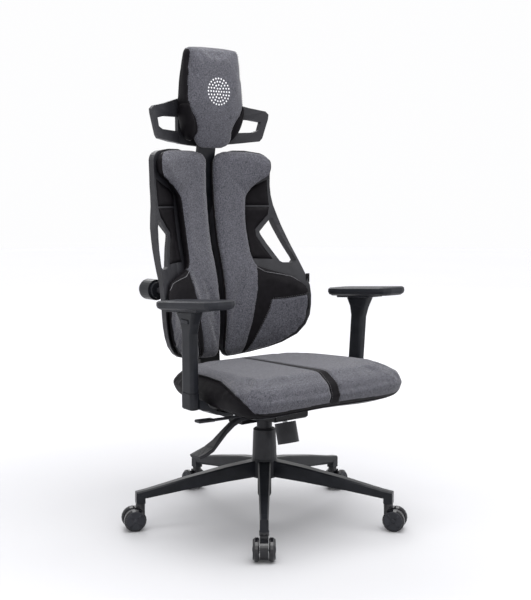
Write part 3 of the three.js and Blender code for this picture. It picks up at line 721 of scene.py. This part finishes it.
def seat_region(p, normals):
    leather_side = seat_side_seam(p) > 0
    stripe = seat_stripe_seam(p) < 0
    return (leather_side | stripe | (normals[:, 2] < SEAT_BLACK_UNDER)).astype(int)


def build_seat():
    seat = padded_body("seat_pad", "seat_cushion", SEAT_SWELL, seat_held, SEAT_ROUNDING)
    side = cut_along(seat.data, seat_side_seam)
    stripe = cut_along(seat.data, seat_stripe_seam)
    press_seams(seat.data, [seat_side_seam, seat_stripe_seam], lambda n: n[:, 2] > SEAT_SEWN_UNDER)
    seat.data.materials.append(FABRIC)
    seat.data.materials.append(LEATHER)
    paint_regions(seat.data, seat_region)
    shade_smooth(seat.data)
    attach(seat, "seat")
    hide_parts("seat_cushion")
    top = [chain for chain in stripe if max(co.z for co, _ in chain) > SEAT_TOP_ABOVE]
    for piece in (stitches("seat_stripe_stitches", top, (-STITCH_OFFSET, STITCH_OFFSET)),
                  tube("seat_piping", side, PIPING_RADIUS, LEATHER)):
        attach(piece, "seat")


# ---- Back halves ---------------------------------------------------------------------------------


def edge_of(points, bins=120):
    """How far out a half of the back reaches, against height, read from its own points."""
    low, high = points[:, 2].min(), points[:, 2].max()
    heights = np.linspace(low, high, bins)
    number = np.clip(((points[:, 2] - low) / (high - low) * (bins - 1)).round().astype(int), 0, bins - 1)
    reach = np.full(bins, -np.inf)
    np.maximum.at(reach, number, points[:, 0])
    known = np.isfinite(reach)
    return list(zip(heights[known], reach[known]))


def strip_seam(p):
    return p[:, 0] - along(STRIP_EDGE, p[:, 2])


def panel_seam(p):
    return np.minimum(p[:, 0] - along(PANEL_EDGE, p[:, 2]), along(PANEL_TOP, p[:, 0]) - p[:, 2])


def rear_held(_, normals):
    return normals[:, 1] > HELD_REAR


def build_back():
    left = padded_body("back_pad_left", "back_cushion_left", BACK_SWELL, rear_held)
    outline = edge_of(from_column(points_of(left.data)))

    def border_seam(p):
        return along(outline, p[:, 2]) - p[:, 0] - BACK_BORDER

    def region(p, normals):
        middle = strip_seam(p) < 0
        panel = panel_seam(p) > 0
        front = (border_seam(p) > 0) & (normals[:, 1] < BORDER_FRONT)
        return (~((middle | panel) & front)).astype(int)

    strip = cut_along(left.data, strip_seam)
    panel = cut_along(left.data, panel_seam)
    cut_along(left.data, border_seam)
    press_seams(left.data, [strip_seam, panel_seam], lambda n: n[:, 1] < SEWN_FRONT)
    left.data.materials.append(FABRIC)
    left.data.materials.append(LEATHER)
    paint_regions(left.data, region)
    shade_smooth(left.data)

    threads = stitches("back_stitches_left", facing_front(strip + panel), (STITCH_OFFSET,))
    for name in ("left", "right"):
        pad = left if name == "left" else mirrored(left, "back_pad_right")
        sewn = threads if name == "left" else mirrored(threads, "back_stitches_right")
        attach(pad, f"back_{name}")
        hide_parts(f"back_cushion_{name}")
        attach(sewn, f"back_{name}")


WELT_RADIUS = 0.0028
WELT_HEIGHTS = (0.450, 0.982)
WELT_STEPS = 110
WELT_SEARCH = 0.030           # how far from the middle a half's inner edge lies at most
WELT_ROW = 0.004              # half the height of the row of points that a step looks at
WELT_SUNK = 0.6               # how far its middle is in from the pad's edge and from its rear,
WELT_FORWARD = 0.5            # as shares of the radius


def build_welts():
    """A round welt down the rear of each half's inner edge, beside the gap."""
    points = points_of(bpy.data.objects["back_pad_left"].data)
    edge = points[points[:, 0] < COLUMN.x + WELT_SEARCH]
    chain = []
    for z in np.linspace(*WELT_HEIGHTS, WELT_STEPS):
        row = edge[np.abs(edge[:, 2] - z) < WELT_ROW]
        x = row[:, 0].min() + WELT_RADIUS * WELT_SUNK
        y = row[:, 1].max() - WELT_RADIUS * WELT_FORWARD
        chain.append((Vector((x, y, z)), Vector((-1, 0, 0))))
    left = tube("inner_welt_left", [chain], WELT_RADIUS, LEATHER, sides=12)
    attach(left, "back_left")
    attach(mirrored(left, "inner_welt_right"), "back_right")


# A cord under the top edge of the black band: x and z along it.
BAND_LINE = [(0.120, 0.6790), (0.140, 0.6655), (0.175, 0.6585), (0.210, 0.6505), (0.238, 0.6290)]
BAND_CORD_RADIUS = 0.0007


def laid_on(piece, line, steps=60):
    """Points and normals where a line of x and z meets a piece, seen from the front."""
    surface = surface_of(piece)
    chain = []
    for x in np.linspace(line[0][0], line[-1][0], steps):
        start = COLUMN + Vector((x, -1, along(line, x)))
        spot, normal, _, _ = surface.ray_cast(start, Vector((0, 1, 0)))
        if spot:
            chain.append((spot, normal))
    return chain


def build_band_cords():
    chain = laid_on(bpy.data.objects["back_pad_left"], BAND_LINE)
    left = tube("band_cord_left", [chain], BAND_CORD_RADIUS, SEAM_THREAD)
    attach(left, "back_left")
    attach(mirrored(left, "band_cord_right"), "back_right")


# Padded panels on a frame's face beside the middle strip: x and z round each one.
SIDE_PANELS = [
    [(0.122, 0.857), (0.196, 0.857), (0.196, 0.932), (0.166, 0.917), (0.136, 0.903), (0.122, 0.890)],
    [(0.122, 0.852), (0.196, 0.852), (0.190, 0.829), (0.152, 0.786), (0.152, 0.768), (0.183, 0.700),
     (0.122, 0.702)],
]
PANEL_CROWN = 0.0045
PANEL_SHOULDER = 0.010        # how far in from its edge a panel reaches its full height
PANEL_RISE_FROM = -0.001      # and where its rise begins, just outside the edge
PANEL_PITCH = 0.005
PANEL_LIFT = 0.0004           # off the frame, at the panel's edge
PANEL_ROOT = 0.0010           # into the frame


def add_side_panel(shape, surface, outline):
    points, faces, border = lattice(outline, PANEL_PITCH)
    front, rear = [], []
    for point in points:
        start = COLUMN + Vector((point.x, -1, point.y))
        hit = surface.ray_cast(start, Vector((0, 1, 0)))[0]
        gap = gap_to(outline, *point)
        rise = PANEL_CROWN * smoothstep(gap, PANEL_RISE_FROM, PANEL_SHOULDER)
        front.append(shape.verts.new(hit - Vector((0, PANEL_LIFT + rise, 0))))
        rear.append(shape.verts.new(hit + Vector((0, PANEL_ROOT, 0))))
    for face in faces:
        shape.faces.new([front[k] for k in face])
        shape.faces.new([rear[k] for k in reversed(face)])
    for k in range(border):
        after = (k + 1) % border
        shape.faces.new((front[k], rear[k], rear[after], front[after]))


def build_side_panels():
    surface = surface_of(nodes["back_frame_left"])
    shape = bmesh.new()
    for outline in SIDE_PANELS:
        add_side_panel(shape, surface, outline)
    left = finished("side_panels_left", shape, LEATHER)
    for piece, body in ((left, "back_left"), (mirrored(left, "side_panels_right"), "back_right")):
        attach(piece, body)


# ---- Headrest ------------------------------------------------------------------------------------

# Height, inner and outer distance from the middle, front y and rear y of the black side pads.
HEADREST_SIDES = [
    (1.038, 0.062, 0.074, 0.236, 0.258), (1.050, 0.060, 0.086, 0.222, 0.268),
    (1.070, 0.060, 0.096, 0.210, 0.270), (1.090, 0.067, 0.1005, 0.203, 0.272),
    (1.110, 0.079, 0.1030, 0.201, 0.272), (1.130, 0.089, 0.1025, 0.202, 0.268),
    (1.142, 0.094, 0.1005, 0.208, 0.258),
]
HEADREST_SIDE_SLOPE = 0.004   # how much further back the outer front corner is
HEADREST_SIDE_LEVELS = 3


def build_headrest_sides():
    for side, name in ((1, "left"), (-1, "right")):
        shape = bmesh.new()
        rings = []
        for z, inner, outer, front, rear in HEADREST_SIDES:
            corners = ((inner, front), (outer, front + HEADREST_SIDE_SLOPE), (outer, rear),
                       (inner, rear))
            rings.append([COLUMN + Vector((side * x, y, z)) for x, y in corners])
        add_loft(shape, rings)
        piece = finished(f"headrest_side_{name}", shape, LEATHER)
        rounded = piece.modifiers.new("rounded", "SUBSURF")
        rounded.levels = HEADREST_SIDE_LEVELS
        rounded.render_levels = HEADREST_SIDE_LEVELS
        apply_modifiers(piece)
        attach(piece, "headrest")


def headrest_seam(p):
    return np.abs(p[:, 0]) - along(HEADREST_EDGE, p[:, 2])


def headrest_region(p, normals):
    return ((headrest_seam(p) > 0) | (normals[:, 1] > HEADREST_REAR)).astype(int)


def build_headrest():
    pad = padded_body("headrest_cushion", "headrest_pad", HEADREST_SWELL, rear_held)
    seam = cut_along(pad.data, headrest_seam)
    press_seams(pad.data, [headrest_seam], lambda n: n[:, 1] < SEWN_FRONT)
    pad.data.materials.append(FABRIC)
    pad.data.materials.append(LEATHER)
    paint_regions(pad.data, headrest_region)
    shade_smooth(pad.data)
    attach(pad, "headrest")
    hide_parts("headrest_pad")
    for piece in (stitches("headrest_stitches", facing_front(seam), (STITCH_OFFSET,)),
                  printed_dots(pad)):
        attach(piece, "headrest")


def printed_dots(pad):
    """A round patch of raised dots in rings, on the pad's front."""
    graph = bpy.context.evaluated_depsgraph_get()
    surface = BVHTree.FromObject(pad, graph)
    shape = bmesh.new()
    for ring in range(DOT_RINGS + 1):
        count = max(1, 6 * ring)
        for k in range(count):
            angle = 2 * math.pi * k / count
            x = COLUMN.x + ring * DOT_RING_STEP * math.cos(angle)
            z = DOT_CENTRE_HEIGHT + ring * DOT_RING_STEP * math.sin(angle)
            spot, normal, _, _ = surface.ray_cast(Vector((x, -1, z)), Vector((0, 1, 0)))
            turn = normal.to_track_quat("Z", "Y").to_matrix().to_4x4()
            size = Matrix.Diagonal((DOT_RADIUS, DOT_RADIUS, DOT_RADIUS * DOT_FLATNESS, 1))
            bmesh.ops.create_uvsphere(shape, u_segments=12, v_segments=6, radius=1.0,
                                      matrix=Matrix.Translation(spot) @ turn @ size)
    mesh = bpy.data.meshes.new("headrest_dots")
    shape.to_mesh(mesh)
    shape.free()
    shade_smooth(mesh)
    return new_object("headrest_dots", mesh, PRINT)


# ---- Casters -------------------------------------------------------------------------------------

# Radius and distance out from the wheel's face, of the rim and of the cap.
HUB_RIM = [(0.0205, 0.0), (0.0255, 0.0), (0.0250, 0.0014), (0.0235, 0.0020), (0.0215, 0.0014)]
HUB_CAP = [(0.0068, -0.0005), (0.0072, 0.0012), (0.0060, 0.0026), (0.0020, 0.0032)]
HUB_SPOKES = 4
SPOKE_WIDTH = 0.0046
SPOKE_HEIGHT = 0.0016
SPOKE_ROOT = -0.0005
# Distance from the axle, and the width there as a share of the spoke's.
SPOKE_STATIONS = [(0.005, 0.7), (0.013, 0.85), (0.0215, 1.5)]


def add_hub(shape, face, outward):
    """A rim, a cap over the axle's end, and spokes that cross in an X."""
    turn = outward.to_track_quat("Z", "Y").to_matrix()
    add_turned(shape, HUB_CAP, face, outward)
    add_turned(shape, HUB_RIM, face, outward, sides=40)
    for k in range(HUB_SPOKES):
        angle = math.pi / 4 + k * 2 * math.pi / HUB_SPOKES
        way = Vector((math.cos(angle), math.sin(angle), 0))
        across = Vector((-way.y, way.x, 0))
        rings = []
        for reach, wide in SPOKE_STATIONS:
            half = across * SPOKE_WIDTH * wide / 2
            low = Vector((0, 0, SPOKE_ROOT))
            high = Vector((0, 0, SPOKE_HEIGHT))
            corners = (half + low, half + high, high - half, low - half)
            rings.append([face + turn @ (way * reach + corner) for corner in corners])
        add_loft(shape, rings)


def build_hubs():
    axes = {j["name"]: Vector(j["axis"]) for j in frame["joints"]}
    for i in range(1, 6):
        axis = axes[f"caster_roll_{i}"].normalized()
        axle = sum(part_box(f"caster_axle_{i}"), Vector()) / 2
        shape = bmesh.new()
        for letter in "ab":
            wheel = nodes[f"caster_wheel_{i}{letter}"]
            reach = [(v.co - axle).dot(axis) for v in wheel.data.vertices]
            far = max(reach, key=abs)
            outward = axis * math.copysign(1, far)
            add_hub(shape, axle + axis * far, outward)
        hub = finished(f"caster_hubs_{i}", shape, DARK_GREY)
        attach(hub, f"wheels_{i}")


# ---- Screws, lever ribs and tag ------------------------------------------------------------------

# Radius and distance out; the last two rows are the socket.
SCREW_HEAD = [(0.0062, -0.001), (0.0062, 0.0024), (0.0054, 0.0034), (0.0034, 0.0034),
              (0.0030, 0.0012)]
SEAT_SCREWS = [(side * x, y) for side in (-1, 1) for x, y in ((0.150, -0.074), (0.150, -0.038),
                                                             (0.075, -0.130), (0.075, 0.070))]


def build_seat_screws():
    """Screw heads under the seat, each against whichever part is lowest there."""
    surface = surface_of(*(nodes[n] for n in ("seat_plate", "seat_shell", "arm_bracket_left",
                                              "arm_bracket_right")))
    shape = bmesh.new()
    for x, y in SEAT_SCREWS:
        spot = surface.ray_cast(COLUMN + Vector((x, y, 0)), Vector((0, 0, 1)))[0]
        add_turned(shape, SCREW_HEAD, spot, Vector((0, 0, -1)), sides=20)
    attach(finished("seat_screws", shape, BRIGHT), "seat")


RIBS_FROM = -0.236            # x of the first and last rib on the tilt lever's paddle
RIBS_TO = -0.190
RIB_PITCH = 0.0045
RIB_HALF_LENGTH = 0.015
RIB_RADIUS = 0.0008
RIB_POINTS = 9
PADDLE_FORWARD = 0.004        # of the column
ABOVE_PADDLE = 0.3            # height from which the ribs are laid down on it


def build_lever_ribs():
    surface = surface_of(nodes["tilt_lever"])
    chains = []
    for x in np.arange(RIBS_FROM, RIBS_TO, RIB_PITCH):
        chain = []
        for y in np.linspace(-RIB_HALF_LENGTH, RIB_HALF_LENGTH, RIB_POINTS):
            start = COLUMN + Vector((x, y - PADDLE_FORWARD, ABOVE_PADDLE))
            chain.append(surface.ray_cast(start, Vector((0, 0, -1)))[:2])
        chains.append(chain)
    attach(tube("tilt_lever_ribs", chains, RIB_RADIUS, SOFT), "tilt_handle")


TAG_HEIGHT = 0.645            # of its middle
TAG_HALF_LENGTH = 0.013
# Distance past the frame's edge, and half the thickness there.
TAG_STATIONS = [(-0.004, 0.0010), (0.004, 0.0011), (0.0085, 0.0009), (0.0095, 0.0004)]
TAG_SEARCH_STEPS = 60


def build_tag():
    """A small blank loop of tape that sticks out past the left frame's outer edge."""
    surface = surface_of(nodes["back_frame_left"])
    low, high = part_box("back_frame_left")
    sideways = Vector((-1, 0, 0))
    hits = [surface.ray_cast(Vector((high.x + 0.1, y, TAG_HEIGHT)), sideways)[0]
            for y in np.linspace(low.y, high.y, TAG_SEARCH_STEPS)]
    rim = max((hit for hit in hits if hit), key=lambda c: c.x)
    shape = bmesh.new()
    rings = []
    for reach, half in TAG_STATIONS:
        corners = ((-half, -TAG_HALF_LENGTH), (half, -TAG_HALF_LENGTH), (half, TAG_HALF_LENGTH),
                   (-half, TAG_HALF_LENGTH))
        rings.append([rim + Vector((reach, y, z)) for y, z in corners])
    add_loft(shape, rings)
    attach(finished("side_tag", shape, LEATHER), "back_left")


# ---- Studio --------------------------------------------------------------------------------------

CAMERA_FROM_COLUMN = Vector((-1.8935, -2.3064, 0.908))
CAMERA_TURN = math.radians(39.44)
CAMERA_DIP = math.radians(5.81)
CAMERA_LENS = 66.25
SENSOR_WIDTH = 36
LIGHTS_AIM = Vector((0, 0, 0.6))
# Name, place, size in metres and power in watts.
SOFTBOXES = [
    ("key_light", (-2.2, -2.0, 3.0), 2.4, 28), ("fill_light", (2.6, -2.2, 2.2), 2.2, 18),
    ("top_light", (0.1, -0.4, 3.4), 2.6, 115), ("rim_light", (1.2, 2.8, 2.8), 2.0, 40),
]
FLOOR_RADIUS = 14
FLOOR_SIDES = 96
BACKDROP = (0.986, 0.986, 0.992, 1)


def add_camera():
    data = bpy.data.cameras.new("camera")
    data.lens = CAMERA_LENS
    data.sensor_width = SENSOR_WIDTH
    camera = bpy.data.objects.new("camera", data)
    camera.location = COLUMN + CAMERA_FROM_COLUMN
    camera.rotation_euler = (math.pi / 2 - CAMERA_DIP, 0, -CAMERA_TURN)
    bpy.context.scene.collection.objects.link(camera)
    bpy.context.scene.camera = camera


def add_softbox(name, place, size, power):
    data = bpy.data.lights.new(name, "AREA")
    data.size = size
    data.energy = power
    light = bpy.data.objects.new(name, data)
    light.location = place
    light.rotation_euler = (LIGHTS_AIM - Vector(place)).to_track_quat("-Z", "Y").to_euler()
    bpy.context.scene.collection.objects.link(light)


def add_floor():
    mesh = bpy.data.meshes.new("floor")
    shape = bmesh.new()
    bmesh.ops.create_circle(shape, cap_ends=True, segments=FLOOR_SIDES, radius=FLOOR_RADIUS)
    shape.to_mesh(mesh)
    shape.free()
    new_object("floor", mesh, studio_floor())


def add_studio():
    world = bpy.data.worlds.new("studio")
    world.use_nodes = True
    background = world.node_tree.nodes["Background"]
    background.inputs["Color"].default_value = BACKDROP
    background.inputs["Strength"].default_value = 1.0
    bpy.context.scene.world = world
    bpy.context.scene.view_settings.view_transform = "Standard"
    for name, place, size, power in SOFTBOXES:
        add_softbox(name, place, size, power)
    add_floor()


add_camera()
add_studio()
dress_cad_parts()
build_seat()
build_back()
build_welts()
build_band_cords()
build_side_panels()
build_headrest()
build_headrest_sides()
build_hubs()
build_seat_screws()
build_lever_ribs()
build_tag()
